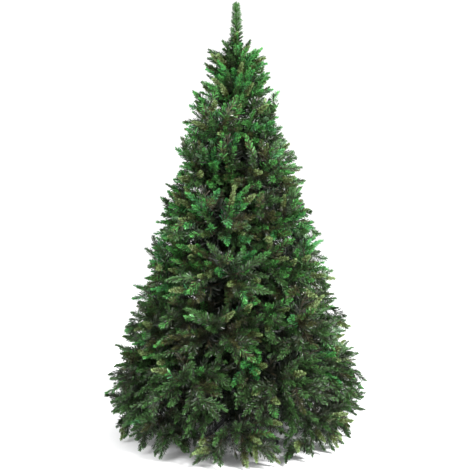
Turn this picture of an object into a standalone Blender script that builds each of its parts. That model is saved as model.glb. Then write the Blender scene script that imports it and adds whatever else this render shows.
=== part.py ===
"""An artificial fir tree on a four-legged steel stand.

Metres, +Z up. The origin is on the floor, under the middle of the pole. Every bough and every mass of
foliage grows outwards from the pole, so most of the work is done in round coordinates: an angle round the
pole, a distance from it and a height.
"""

import math
import random

import bmesh
import bpy
from mathutils import Matrix, Vector

# The whole tree
TREE_HEIGHT = 1.80
GAP = 0.0003  # left between pieces that touch each other
SEED = 12

# The crown's outline: how far the tips reach at each height
SHOULDER_HEIGHT = 1.62
SHOULDER_RADIUS = 0.115
SKIRT_HEIGHT = 0.17
SKIRT_RADIUS = 0.556
OUTLINE_POWER = 1.1  # over 1 makes the sides slightly hollow
SKIRT_TUCK = 0.6  # how fast the reach shrinks below the skirt
TOP_TUCK = 1.2  # and above the shoulder

# The rings of foliage, from the floor up. Ring i lies between surfaces i and i + 1. Each surface is a cone,
# given by its height at the pole and its height where it meets the crown's outline.
SURFACES = (
    (0.220, 0.030),
    (0.300, 0.215),
    (0.390, 0.415),
    (0.520, 0.630),
    (0.690, 0.850),
    (0.880, 1.060),
    (1.060, 1.250),
    (1.230, 1.420),
)
MASSES_IN_RING = (8, 7, 6, 5, 4, 3, 3)
RING_TURN = math.radians(38)  # each ring is turned by this much from the one below

# The pole, in three sections that plug into each other
POLE_SIDES = 10
POLE_FOOT = 0.0260
POLE_TOP = 1.300
POLE_JOINTS = (0.660, 1.020)  # heights of the two plug joints
POLE_RADII = (0.0160, 0.0135, 0.0105)
PLUG_LENGTH = 0.045
PLUG_SHARE = 0.75  # the plug's radius as a share of its section's radius
COLLAR_RIM = 0.009  # how far a collar stands out of the pole
COLLAR_HEIGHT = 0.020

# Wire boughs and stems
STEM_RADIUS = 0.0042
STEM_TAPER = 0.6  # a stem's radius at its end, as a share of that at its start
STEM_POINTS = 4
BOUGH_POINTS = 3
BOUGH_END = 0.150  # the bare boughs of the lowest ring reach this far from the pole
BOUGH_RADII = (0.0050, 0.0044)
BARE_RINGS = 1  # rings whose boughs show bare near the pole

# Twigs and sprays of needles
TWIGS_IN_MASS = (6, 6, 6, 7, 8, 9, 7)  # for each ring
TWIG_RADIUS = 0.0028
TWIG_SIDES = 3
TWIG_ANGLE = math.radians(44)  # between a twig and its stem
TWIG_ANGLE_SHARES = (0.8, 1.1)  # the least and the most that each twig has of that angle
SHORTEST_TWIG = 0.3  # as a share of its spray's length: a shorter one is left out
FORK_STEPS = 200  # in which a stem's length is searched for the point where a twig leaves it
FORK_RANGE = (20, 196)  # the first of those steps, and the one past the last
SPRAY_LENGTH = 0.155
SPRAY_RADIUS = 0.034
SPRAY_SHARES = (1.0, 0.8, 0.6)  # of that radius, tried in turn until the spray fits its mass's space
LONGEST_SPRAY = 0.92  # as a share of its twig's length
SPRAY_WAIST = 0.40  # radius between the needle points, as a share of SPRAY_RADIUS
SPRAY_POINTS = 2  # needle points in each ring
SPRAY_RINGS = ((0.28, 1.0), (0.62, 0.85))  # where each ring is, and its share of the radius
SPRAY_SWEEP = 0.12  # how far the points lean towards the tip, as a share of the length
CORE_POINTS = 3
CORE_RINGS = ((0.22, 0.80), (0.48, 1.0), (0.74, 0.95))
CORE_WAIST = 0.66
CORE_SWEEP = 0.08
CORE_START = 0.12  # where a mass's dense core begins, as a share of the crown's radius
CORE_CLEARANCE = 0.01  # and at least this far from the stem's start
CORE_DEPTH = 0.075  # how far the core stays inside the tips
CORE_WIDTH = 0.84  # the core's width and height, as shares of the mass's space
CORE_HEIGHT = 0.84
SPACE_MARGIN = 0.0015  # a mass stays this far inside its own space
ALONG_EDGE = 0.028  # sprays aim this far inside the side edges of their mass
ABOVE_EDGE = 0.6  # and this share of it inside its lower and upper edges

# The leader and the tuft round its foot
LEADER_LENGTH = 0.235
LEADER_RADIUS = 0.0215
LEADER_POINTS = 3
LEADER_WIRE_DEPTH = 0.05  # how far the leader's wire ends below its tip
LEADER_RINGS = ((0.10, 0.8), (0.28, 1.0), (0.46, 1.0), (0.64, 0.9), (0.80, 0.7))
TUFT_TWIGS = 14
TUFT_SPRAY = 0.120
TUFT_SPRAY_SHARE = 0.75  # the radius of its sprays, as a share of SPRAY_RADIUS
TUFT_RISE = 0.02  # from the pole's top to the foot of the tuft's core
TUFT_CORE_RADIUS = 0.01  # at least
TUFT_DEPTH = 0.060  # how far the tuft's core stays inside its tips

# The stand
SLEEVE_SIDES = 12
SLEEVE_RADIUS = 0.0195
SLEEVE_FOOT = 0.022
SLEEVE_TOP = 0.200
SLEEVE_FLOOR = 0.0037
LEGS = 4
LEG_TURN = math.radians(45)
LEG_SPAN = 0.235  # from the pole's axis to the tip of a leg
LEG_WIDTH = 0.005  # a leg is a flat bar that stands on its edge
LEG_DEPTH = 0.018
LEG_PIVOT = (0.034, 0.078)  # distance from the axis, and height
LEG_HEEL = 0.009  # from the pivot to the leg's inner end
LEG_SHOULDER = 0.020  # from the pivot to the upper bend
LEG_TOE = 0.060  # the length that lies along the floor
LEG_REST = 0.013  # height of the leg's middle line where it lies in its foot
LUG_SIZE = 0.024
LUG_THICKNESS = 0.003
RIVET_RADIUS = 0.0030
RIVET_HEAD = 0.002
FOOT_LENGTH = 0.050
FOOT_WIDTH = 0.018
FOOT_HEIGHT = 0.027
FOOT_TOE = 0.004  # how far it stands out past the leg
FOOT_EDGE = 0.003
SCREWS = 3
SCREW_TURN = math.pi / 2
SCREW_RADIUS = 0.0030
SCREW_HEIGHT = 0.165
SCREW_LENGTH = 0.034
SCREW_HOLE = (0.002, 0.005)  # how far its cutter starts inside the bore and ends outside the sleeve
WING_SIZE = (0.004, 0.030, 0.016)
ROD_SIDES = 8

GOLDEN_STEPS = (0.7548777, 0.5698403)  # steps of an even spread over a rectangle


# Materials


def principled(name, colour, roughness, metallic=0.0):
    material = bpy.data.materials.new(name)
    material.use_nodes = True
    shader = material.node_tree.nodes["Principled BSDF"]
    shader.inputs["Base Color"].default_value = (*colour, 1.0)
    shader.inputs["Roughness"].default_value = roughness
    shader.inputs["Metallic"].default_value = metallic
    material.diffuse_color = (*colour, 1.0)
    return material


# Objects and their meshes


def clear_scene():
    for old in list(bpy.data.objects):
        bpy.data.objects.remove(old)


def new_collection(name):
    collection = bpy.data.collections.new(name)
    bpy.context.scene.collection.children.link(collection)
    return collection


def add_object(name, data, collection, material=None, place=None):
    obj = bpy.data.objects.new(name, data)
    collection.objects.link(obj)
    if material:
        data.materials.append(material)
    if place:
        obj.matrix_world = place
    return obj


def mesh_from(bm, name, place=None):
    if place:
        bm.transform(place)
    mesh = bpy.data.meshes.new(name)
    bm.to_mesh(mesh)
    bm.free()
    return mesh


def smooth(mesh, angle=35):
    mesh.shade_smooth()
    mesh.set_sharp_from_angle(angle=math.radians(angle))


def baked(obj):
    """The object's evaluated mesh, in world space. The loose caps of a curve are welded on."""
    bpy.context.view_layer.update()
    graph = bpy.context.evaluated_depsgraph_get()
    mesh = bpy.data.meshes.new_from_object(obj.evaluated_get(graph), depsgraph=graph)
    mesh.transform(obj.matrix_world)
    if obj.type == "CURVE":
        bm = bmesh.new()
        bm.from_mesh(mesh)
        bmesh.ops.remove_doubles(bm, verts=bm.verts, dist=1e-6)
        bmesh.ops.recalc_face_normals(bm, faces=bm.faces)
        bmesh.ops.triangulate(bm, faces=bm.faces)
        bm.to_mesh(mesh)
        bm.free()
    return mesh


def boolean(obj, operation, others):
    """Applies one Boolean on all the others, and removes them."""
    cutters = new_collection(obj.name + "_cutters")
    for other in others:
        for home in list(other.users_collection):
            home.objects.unlink(other)
        cutters.objects.link(other)
    modifier = obj.modifiers.new(operation.title(), "BOOLEAN")
    modifier.operation = operation
    modifier.operand_type = "COLLECTION"
    modifier.collection = cutters
    modifier.solver = "EXACT"
    mesh = baked(obj)
    obj.modifiers.clear()
    obj.matrix_world = Matrix.Identity(4)
    obj.data = mesh
    for other in others:
        bpy.data.objects.remove(other)
    bpy.data.collections.remove(cutters)


def islands(bm):
    """The separate closed surfaces of a mesh, each a list of faces."""
    left = set(bm.faces)
    while left:
        grown, edge = set(), [left.pop()]
        while edge:
            face = edge.pop()
            grown.add(face)
            near = {f for e in face.edges for f in e.link_faces if f in left}
            left -= near
            edge += near
        yield list(grown)


def signed_volume(faces):
    total = 0.0
    origin = faces[0].verts[0].co.copy()
    for face in faces:
        first, *others = [vert.co - origin for vert in face.verts]
        for a, b in zip(others, others[1:]):
            total += first.dot(a.cross(b)) / 6
    return total


def fill_hollows(mesh):
    """Removes the inner surface of every hollow that the joined twigs and sprays close off."""
    bm = bmesh.new()
    bm.from_mesh(mesh)
    inner = [face for faces in islands(bm) if signed_volume(faces) < 0 for face in faces]
    bmesh.ops.delete(bm, geom=inner, context="FACES")
    bm.to_mesh(mesh)
    bm.free()


def turned(name, profile, steps, collection, material):
    """A profile of (radius, height) points, outer side downwards, turned about Z."""
    bm = bmesh.new()
    verts = [bm.verts.new((radius, 0, height)) for radius, height in profile]
    for a, b in zip(verts, verts[1:]):
        bm.edges.new((a, b))
    obj = add_object(name, mesh_from(bm, name), collection, material)
    screw = obj.modifiers.new("Turn", "SCREW")
    screw.steps = steps
    screw.render_steps = steps
    screw.use_merge_vertices = True
    screw.merge_threshold = 0.0001
    return obj


def wire(name, points, radii, collection, material, resolution):
    """A tapering round wire through the points."""
    curve = bpy.data.curves.new(name, "CURVE")
    curve.dimensions = "3D"
    curve.bevel_depth = radii[0]
    curve.bevel_resolution = resolution
    curve.use_fill_caps = True
    spline = curve.splines.new("POLY")
    spline.points.add(len(points) - 1)
    for i, (point, place) in enumerate(zip(spline.points, points)):
        share = i / (len(points) - 1)
        point.co = (*place, 1.0)
        point.radius = 1 + (radii[1] / radii[0] - 1) * share
    return add_object(name, curve, collection, material)


def towards(start, end):
    """The matrix that takes the origin to start and +Z to the direction of end."""
    turn = (end - start).to_track_quat("Z", "Y")
    return Matrix.Translation(start) @ turn.to_matrix().to_4x4()


# The crown's shape


def polar(radius, angle, height):
    return Vector((radius * math.cos(angle), radius * math.sin(angle), height))


def crown_radius(height):
    """How far from the pole the crown reaches at this height."""
    if height < SKIRT_HEIGHT:
        return SKIRT_RADIUS - (SKIRT_HEIGHT - height) * SKIRT_TUCK
    if height > SHOULDER_HEIGHT:
        return SHOULDER_RADIUS - (height - SHOULDER_HEIGHT) * TOP_TUCK
    drop = (SHOULDER_HEIGHT - height) / (SHOULDER_HEIGHT - SKIRT_HEIGHT)
    return SHOULDER_RADIUS + (SKIRT_RADIUS - SHOULDER_RADIUS) * drop**OUTLINE_POWER


def surface_height(index, radius):
    """Height of one of the cones between the rings, this far from the pole."""
    inner, outer = SURFACES[index]
    return inner + (outer - inner) * radius / crown_radius(outer)


def ring_height(ring, radius):
    """Height of the ring's stems, midway between its two surfaces."""
    return (surface_height(ring, radius) + surface_height(ring + 1, radius)) / 2


def pole_radius(height):
    section = sum(height > joint for joint in POLE_JOINTS)
    return POLE_RADII[section]


def collar_radius(ring):
    return pole_radius(ring_height(ring, 0)) + COLLAR_RIM


def collar_height(ring):
    return ring_height(ring, collar_radius(ring))


def seat(ring, angle, radius):
    """How far from the axis a wire starts, for its nearest corner to be a gap away from its collar."""
    rim = collar_radius(ring) + GAP
    half_side = math.pi / POLE_SIDES
    nearest = 0.0
    for side in (-radius, 0.0, radius):
        turn = (angle + side / rim) % (2 * half_side) - half_side
        edge = rim * math.cos(half_side) / math.cos(turn)
        nearest = max(nearest, edge * math.cos(side / rim))
    return nearest + radius * math.sin(abs(math.atan(slope(ring))))


class Space:
    """The part of the crown that belongs to one mass of foliage."""

    def __init__(self, ring, angle, half_angle):
        self.ring, self.angle, self.half_angle = ring, angle, half_angle

    def holds(self, point):
        radius = math.hypot(point.x, point.y)
        if point.z < surface_height(self.ring, radius) + SPACE_MARGIN:
            return False
        if self.ring == len(MASSES_IN_RING):
            return True
        if point.z > surface_height(self.ring + 1, radius) - SPACE_MARGIN:
            return False
        turn = math.atan2(point.y, point.x) - self.angle
        turn = (turn + math.pi) % math.tau - math.pi
        side = radius * math.sin(min(self.half_angle - abs(turn), math.pi / 2))
        return side > SPACE_MARGIN

    def targets(self, count, low, high):
        """Points spread evenly over the mass's share of the crown's outline."""
        for i in range(count):
            across = (0.5 + (i + 1) * GOLDEN_STEPS[0]) % 1 * 2 - 1
            up = (0.5 + (i + 1) * GOLDEN_STEPS[1]) % 1
            height = low + (high - low) * up
            radius = crown_radius(height)
            spread = self.half_angle
            if self.half_angle < math.pi:
                spread -= ALONG_EDGE / radius
            yield polar(radius, self.angle + spread * across, height)


# Foliage


def toothed(rings, points, waist, sweep):
    """A spindle from z = 0 to z = 1 whose rings have needle points standing out, leaning upwards.

    Each ring is its height and its radius. The waist is the radius between the points, as a share.
    """
    bm = bmesh.new()
    bmesh.ops.create_uvsphere(
        bm, u_segments=2 * points, v_segments=len(rings) + 1, radius=1
    )
    turn = math.pi / points
    for vert in bm.verts:
        if math.isclose(abs(vert.co.z), 1, rel_tol=1e-5):  # a pole of the sphere
            vert.co = (0, 0, 1 if vert.co.z > 0 else 0)
            continue
        drop = math.acos(vert.co.z) / math.pi * (len(rings) + 1)
        ring = len(rings) - round(drop)
        step = round(math.atan2(vert.co.y, vert.co.x) / turn)
        height, radius = rings[ring]
        if (step + ring) % 2:
            radius *= waist
        else:
            height += sweep
        vert.co = polar(radius, step * turn, height)
    bmesh.ops.triangulate(bm, faces=bm.faces)
    return bm


def spray(length, radius, rings, points):
    bm = toothed(rings, points, SPRAY_WAIST, SPRAY_SWEEP)
    bmesh.ops.scale(bm, verts=bm.verts, vec=(radius, radius, length))
    return bm


def twig(start, tip, length, radius, space, parts, roll):
    """A twig from start that ends in a spray at tip. It is thinner, or left out, where space is short."""
    whole = (tip - start).length
    if whole < SHORTEST_TWIG * length:
        return
    length = min(length, LONGEST_SPRAY * whole)
    root = tip + (start - tip) * (length / whole)
    place = towards(root, tip) @ Matrix.Rotation(roll, 4, "Z")
    for share in SPRAY_SHARES:
        bm = spray(length, radius * share, SPRAY_RINGS, SPRAY_POINTS)
        bm.transform(place)
        if all(space.holds(vert.co) for vert in bm.verts):
            parts.append(mesh_from(bm, "spray"))
            break
        bm.free()
    else:
        return
    bm = bmesh.new()
    middle = (root + tip) / 2
    reach = (middle - start).length
    bmesh.ops.create_cone(
        bm, cap_ends=True, segments=TWIG_SIDES, radius1=TWIG_RADIUS, radius2=0, depth=reach
    )
    bm.transform(towards(start, middle) @ Matrix.Translation((0, 0, reach / 2)))
    parts.append(mesh_from(bm, "twig"))


def core(space, start, end):
    """The dense inside of a mass: a toothed spindle that fills the middle of the mass's space."""
    bm = toothed(CORE_RINGS, CORE_POINTS, CORE_WAIST, CORE_SWEEP)
    for vert in bm.verts:
        up, across, out = vert.co
        radius = start + (end - start) * out
        middle = ring_height(space.ring, radius)
        half = surface_height(space.ring + 1, radius) - middle
        angle = space.angle + across * space.half_angle * CORE_WIDTH
        vert.co = polar(radius, angle, middle + up * half * CORE_HEIGHT)
    bmesh.ops.recalc_face_normals(bm, faces=bm.faces)
    return mesh_from(bm, "core")


def fork(stem, tip, angle):
    """The point of the stem from which a straight twig to tip leaves at this angle."""
    best = None
    for i in range(*FORK_RANGE):
        share = i / FORK_STEPS * (len(stem) - 1)
        span = min(int(share), len(stem) - 2)
        start = stem[span].lerp(stem[span + 1], share - span)
        miss = abs((tip - start).angle(stem[span + 1] - stem[span]) - angle)
        if best is None or miss < best[0]:
            best = (miss, start)
    return best[1]


def fuse(name, stem, parts, collection, material):
    """The stem with all the twigs and sprays joined to it, as one closed solid."""
    radii = (STEM_RADIUS, STEM_RADIUS * STEM_TAPER)
    guide = wire(name + "_guide", stem, radii, collection, None, 0)
    obj = add_object(name, baked(guide), collection, material)
    bpy.data.objects.remove(guide)
    boolean(obj, "UNION", [add_object("part", part, collection) for part in parts])
    fill_hollows(obj.data)
    obj.data.materials.clear()
    obj.data.materials.append(material)
    return obj


def stem_points(ring, angle, start, end, count):
    """Points along a stem of the ring, from a distance start to a distance end from the pole."""
    points = [polar(start, angle, ring_height(ring, start))]
    for i in range(1, count):
        radius = start + (end - start) * i / (count - 1)
        points.append(polar(radius, angle, ring_height(ring, radius)))
    return points


def ring_of_foliage(ring, rng, collection, foliage, wires):
    count = MASSES_IN_RING[ring]
    low, high = SURFACES[ring][1], SURFACES[ring + 1][1]
    reach = crown_radius((low + high) / 2)
    for i in range(count):
        angle = RING_TURN * ring + math.tau * i / count
        space = Space(ring, angle, math.pi / count)
        start = seat(ring, angle, STEM_RADIUS)
        if ring < BARE_RINGS:
            start = seat(ring, angle, BOUGH_RADII[0])
            bough = stem_points(ring, angle, start, BOUGH_END, BOUGH_POINTS)
            wire(f"bough_{i + 1}", bough, BOUGH_RADII, collection, wires, 1)
            start = BOUGH_END + GAP
        stem = stem_points(ring, angle, start, reach - SPRAY_LENGTH / 2, STEM_POINTS)
        inside = max(start + CORE_CLEARANCE, CORE_START * reach)
        parts = [core(space, inside, reach - CORE_DEPTH)]
        tips = [stem[-1] + (stem[-1] - stem[-2]).normalized() * (SPRAY_LENGTH / 2)]
        edge = ABOVE_EDGE * ALONG_EDGE
        tips += space.targets(TWIGS_IN_MASS[ring], low + edge, high - edge)
        for tip in tips:
            foot = fork(stem, tip, TWIG_ANGLE * rng.uniform(*TWIG_ANGLE_SHARES))
            twig(foot, tip, SPRAY_LENGTH, SPRAY_RADIUS, space, parts, rng.uniform(0, math.tau))
        fuse(f"foliage_{ring + 1}_{i + 1}", stem, parts, collection, foliage)


def slope(ring):
    """Rise of the ring's stems for each metre outwards."""
    reach = crown_radius(SURFACES[ring][1])
    return (ring_height(ring, reach) - ring_height(ring, 0)) / reach


def top_of_foliage(rng, collection, foliage):
    ring = len(MASSES_IN_RING)
    space = Space(ring, 0.0, math.pi)
    leader_foot = TREE_HEIGHT - LEADER_LENGTH
    heights = (POLE_TOP + GAP, leader_foot, TREE_HEIGHT - LEADER_WIRE_DEPTH)
    stem = [Vector((0, 0, height)) for height in heights]
    bm = toothed(CORE_RINGS, CORE_POINTS, CORE_WAIST, CORE_SWEEP)
    for vert in bm.verts:
        height = POLE_TOP + TUFT_RISE + (SHOULDER_HEIGHT - POLE_TOP) * vert.co.z
        wide = max(TUFT_CORE_RADIUS, crown_radius(height) - TUFT_DEPTH)
        vert.co = (vert.co.x * wide, vert.co.y * wide, height)
    parts = [mesh_from(bm, "core")]
    for tip in space.targets(TUFT_TWIGS, SURFACES[ring][1] + ALONG_EDGE, SHOULDER_HEIGHT):
        foot = fork(stem[:2], tip, TWIG_ANGLE)
        radius = SPRAY_RADIUS * TUFT_SPRAY_SHARE
        twig(foot, tip, TUFT_SPRAY, radius, space, parts, rng.uniform(0, math.tau))
    bm = spray(LEADER_LENGTH, LEADER_RADIUS, LEADER_RINGS, LEADER_POINTS)
    parts.append(mesh_from(bm, "spray", Matrix.Translation((0, 0, leader_foot))))
    fuse("foliage_top", stem, parts, collection, foliage)


# The pole


def pole_section(index, name, collection, material):
    radius = POLE_RADII[index]
    foot = POLE_JOINTS[index - 1] + GAP if index else POLE_FOOT
    last = index == len(POLE_RADII) - 1
    top = POLE_TOP if last else POLE_JOINTS[index]
    profile = [(0, top)]
    if not last:
        socket = POLE_RADII[index + 1] * PLUG_SHARE + GAP
        floor = top - PLUG_LENGTH - GAP
        profile = [(0, floor), (socket, floor), (socket, top)]
    profile.append((radius, top))
    rings = [r for r in range(len(MASSES_IN_RING)) if foot < collar_height(r) < top]
    for ring in reversed(rings):
        middle, rim = collar_height(ring), radius + COLLAR_RIM
        upper, lower = middle + COLLAR_HEIGHT / 2, middle - COLLAR_HEIGHT / 2
        profile += [(radius, upper), (rim, upper), (rim, lower), (radius, lower)]
    profile.append((radius, foot))
    if index:
        plug = radius * PLUG_SHARE
        profile += [(plug, foot), (plug, foot - PLUG_LENGTH)]
        foot -= PLUG_LENGTH
    profile.append((0, foot))
    return turned(name, profile, POLE_SIDES, collection, material)


# The stand


def rod(name, radius, start, end, collection, material=None):
    """A straight round rod between two points."""
    bm = bmesh.new()
    depth = (end - start).length
    bmesh.ops.create_cone(
        bm, cap_ends=True, segments=ROD_SIDES, radius1=radius, radius2=radius, depth=depth
    )
    place = towards(start, end) @ Matrix.Translation((0, 0, depth / 2))
    return add_object(name, mesh_from(bm, name, place), collection, material)


def block(name, size, centre, collection, material=None, turn=0.0):
    """A box, its length along the direction at that angle round the pole."""
    bm = bmesh.new()
    bmesh.ops.create_cube(bm, size=1)
    bmesh.ops.scale(bm, verts=bm.verts, vec=size)
    place = Matrix.Rotation(turn, 4, "Z") @ Matrix.Translation(centre)
    return add_object(name, mesh_from(bm, name, place), collection, material)


def leg_line():
    """The bent middle line of a leg, as (distance, height) points: out of the lugs, down, along the floor."""
    pivot_at, pivot_height = LEG_PIVOT
    return [
        (pivot_at - LEG_HEEL, pivot_height),
        (pivot_at + LEG_SHOULDER, pivot_height),
        (LEG_SPAN - LEG_TOE, LEG_REST),
        (LEG_SPAN, LEG_REST),
    ]


def offset_line(line, distance):
    """The line moved sideways by a distance, with mitred corners."""
    points = [Vector(p) for p in line]
    moved = []
    for i, point in enumerate(points):
        before = (point - points[i - 1]).normalized() if i else None
        after = (points[i + 1] - point).normalized() if i + 1 < len(points) else None
        one, two = before or after, after or before
        normals = [Vector((-d.y, d.x)) for d in (one, two)]
        mitre = (normals[0] + normals[1]).normalized()
        moved.append(point + mitre * distance / mitre.dot(normals[0]))
    return moved


def leg(name, angle, collection, material):
    """A flat bar bent on edge, drawn as an outline and extruded to its width, with the rivet's hole."""
    upper = offset_line(leg_line(), LEG_DEPTH / 2)
    lower = offset_line(leg_line(), -LEG_DEPTH / 2)
    outline = upper + lower[::-1]
    curve = bpy.data.curves.new(name, "CURVE")
    curve.dimensions = "2D"
    curve.fill_mode = "BOTH"
    curve.extrude = LEG_WIDTH / 2
    spline = curve.splines.new("POLY")
    spline.points.add(len(outline) - 1)
    spline.use_cyclic_u = True
    for point, (along, height) in zip(spline.points, outline):
        point.co = (along, height, 0, 1)
    upright = Matrix.Rotation(angle, 4, "Z") @ Matrix.Rotation(math.pi / 2, 4, "X")
    guide = add_object(name + "_guide", curve, collection, None, upright)
    obj = add_object(name, baked(guide), collection, material)
    bpy.data.objects.remove(guide)
    hole = rivet("hole", angle, RIVET_RADIUS + GAP, LEG_WIDTH, collection)
    boolean(obj, "DIFFERENCE", [hole])
    return obj


def rivet(name, angle, radius, half_length, collection):
    side = polar(half_length, angle + math.pi / 2, 0)
    middle = polar(LEG_PIVOT[0], angle, LEG_PIVOT[1])
    return rod(name, radius, middle - side, middle + side, collection)


def leg_angle(index):
    return LEG_TURN + math.tau * index / LEGS


def screw_angle(index):
    return SCREW_TURN + math.tau * index / SCREWS


def sleeve(collection, material):
    """The upright tube that the pole stands in, with a pair of lugs and a rivet for each leg."""
    bore = POLE_RADII[0] + 2 * GAP
    floor = SLEEVE_FOOT + SLEEVE_FLOOR
    profile = [
        (0, floor),
        (bore, floor),
        (bore, SLEEVE_TOP),
        (SLEEVE_RADIUS, SLEEVE_TOP),
        (SLEEVE_RADIUS, SLEEVE_FOOT),
        (0, SLEEVE_FOOT),
    ]
    guide = turned("stand_sleeve_guide", profile, SLEEVE_SIDES, collection, None)
    obj = add_object("stand_sleeve", baked(guide), collection, material)
    bpy.data.objects.remove(guide)
    parts = []
    across = LEG_WIDTH / 2 + GAP + LUG_THICKNESS / 2
    wall = math.sqrt(((bore + SLEEVE_RADIUS) / 2) ** 2 - across**2)
    reach = LEG_PIVOT[0] + LUG_SIZE / 2 - wall
    for i in range(LEGS):
        for side in (-across, across):
            centre = (wall + reach / 2, side, LEG_PIVOT[1])
            size = (reach, LUG_THICKNESS, LUG_SIZE)
            parts.append(block("lug", size, centre, collection, None, leg_angle(i)))
        half = LEG_WIDTH / 2 + GAP + LUG_THICKNESS + RIVET_HEAD
        parts.append(rivet("rivet", leg_angle(i), RIVET_RADIUS, half, collection))
    boolean(obj, "UNION", parts)
    holes = []
    for i in range(SCREWS):
        inner = polar(bore - SCREW_HOLE[0], screw_angle(i), SCREW_HEIGHT)
        outer = polar(SLEEVE_RADIUS + SCREW_HOLE[1], screw_angle(i), SCREW_HEIGHT)
        holes.append(rod("hole", SCREW_RADIUS + GAP, inner, outer, collection))
    boolean(obj, "DIFFERENCE", holes)
    return obj


def foot(name, angle, collection, material):
    """A plastic shoe over the end of a leg, with a pocket that fits it."""
    centre = (LEG_SPAN + FOOT_TOE - FOOT_LENGTH / 2, 0, FOOT_HEIGHT / 2)
    size = (FOOT_LENGTH, FOOT_WIDTH, FOOT_HEIGHT)
    obj = block(name, size, centre, collection, material, angle)
    bevel = obj.modifiers.new("Edges", "BEVEL")
    bevel.width = FOOT_EDGE
    bevel.segments = 1
    bevel.limit_method = "ANGLE"
    pocket = (FOOT_LENGTH, LEG_WIDTH + 2 * GAP, LEG_DEPTH + 2 * GAP)
    inside = (LEG_SPAN + GAP - FOOT_LENGTH / 2, 0, LEG_REST)
    boolean(obj, "DIFFERENCE", [block("pocket", pocket, inside, collection, None, angle)])
    return obj


def screw(name, angle, collection, material):
    """A wing screw through the sleeve's wall, its point against the pole."""
    start = polar(POLE_RADII[0] + GAP, angle, SCREW_HEIGHT)
    end = polar(POLE_RADII[0] + SCREW_LENGTH, angle, SCREW_HEIGHT)
    obj = rod(name, SCREW_RADIUS, start, end, collection, material)
    centre = (POLE_RADII[0] + SCREW_LENGTH, 0, SCREW_HEIGHT)
    boolean(obj, "UNION", [block("wings", WING_SIZE, centre, collection, None, angle)])
    return obj


def main():
    clear_scene()
    tree = new_collection("artificial_fir_tree")
    steel = principled("black painted steel", (0.020, 0.020, 0.022), 0.45, 0.4)
    green_steel = principled("green painted steel", (0.020, 0.050, 0.028), 0.50, 0.3)
    plastic = principled("black plastic", (0.012, 0.012, 0.013), 0.60)
    wires = principled("brown wire", (0.070, 0.045, 0.025), 0.75)
    foliage = principled("green PVC needles", (0.035, 0.110, 0.035), 0.60)

    for index, name in enumerate(("pole_lower", "pole_middle", "pole_upper")):
        smooth(pole_section(index, name, tree, green_steel).data)
    smooth(sleeve(tree, steel).data)
    for i in range(LEGS):
        leg(f"stand_leg_{i + 1}", leg_angle(i), tree, steel)
        foot(f"stand_foot_{i + 1}", leg_angle(i), tree, plastic)
    for i in range(SCREWS):
        smooth(screw(f"stand_screw_{i + 1}", screw_angle(i), tree, steel).data)

    rng = random.Random(SEED)
    for ring in range(len(MASSES_IN_RING)):
        ring_of_foliage(ring, rng, tree, foliage, wires)
    top_of_foliage(rng, tree, foliage)


main()
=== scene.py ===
"""The looks of an artificial fir tree: wired branches of cut PVC needles, a painted pole and its stand.

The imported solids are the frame. The crown is grown here by the rule that made the solids, carried on to
finer twigs, so every branch stays where its solid is.
"""

import math
import random
from collections import namedtuple

import bmesh
import bpy
import numpy as np
from mathutils import Matrix, Vector


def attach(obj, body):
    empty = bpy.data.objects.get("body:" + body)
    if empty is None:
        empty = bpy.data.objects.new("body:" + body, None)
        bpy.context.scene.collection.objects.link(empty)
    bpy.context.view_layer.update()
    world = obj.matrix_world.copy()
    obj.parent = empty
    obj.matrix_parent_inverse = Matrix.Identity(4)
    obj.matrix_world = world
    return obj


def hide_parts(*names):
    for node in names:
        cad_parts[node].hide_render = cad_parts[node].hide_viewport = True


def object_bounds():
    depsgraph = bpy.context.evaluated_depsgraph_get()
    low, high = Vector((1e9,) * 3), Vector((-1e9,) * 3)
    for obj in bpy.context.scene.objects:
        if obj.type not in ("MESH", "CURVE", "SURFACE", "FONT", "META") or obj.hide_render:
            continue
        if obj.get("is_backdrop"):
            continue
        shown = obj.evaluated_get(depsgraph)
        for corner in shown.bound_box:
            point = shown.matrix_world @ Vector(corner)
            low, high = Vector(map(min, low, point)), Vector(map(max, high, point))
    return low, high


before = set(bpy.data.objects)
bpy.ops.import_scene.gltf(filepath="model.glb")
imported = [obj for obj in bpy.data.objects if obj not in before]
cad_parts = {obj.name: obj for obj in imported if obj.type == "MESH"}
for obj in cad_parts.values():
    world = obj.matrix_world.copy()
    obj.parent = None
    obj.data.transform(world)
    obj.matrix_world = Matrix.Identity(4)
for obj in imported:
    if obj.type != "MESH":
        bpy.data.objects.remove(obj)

bl_info = {
    "name": "Artificial fir tree",
    "version": (1, 0, 0),
    "blender": (4, 5, 0),
    "location": "3D View > Sidebar > Fir tree",
    "description": "Grows and finishes an artificial fir tree on a four-legged stand",
    "category": "Object",
}

CAD_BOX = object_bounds()
BODY = "root"
GAP = 0.0003  # between pieces that touch each other
SEED = 12
MOST_TRIANGLES = 200_000  # in one piece
SMOOTH_ANGLE = 40  # degrees: flatter edges than this are shaded smooth

# The crown's rule, with the sizes of the solids
TREE_HEIGHT = CAD_BOX[1].z
SHOULDER_HEIGHT = 1.62
SHOULDER_RADIUS = 0.115
SKIRT_HEIGHT = 0.17
SKIRT_RADIUS = 0.556
OUTLINE_POWER = 1.1
SKIRT_TUCK = 0.6
TOP_TUCK = 1.2
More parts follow.
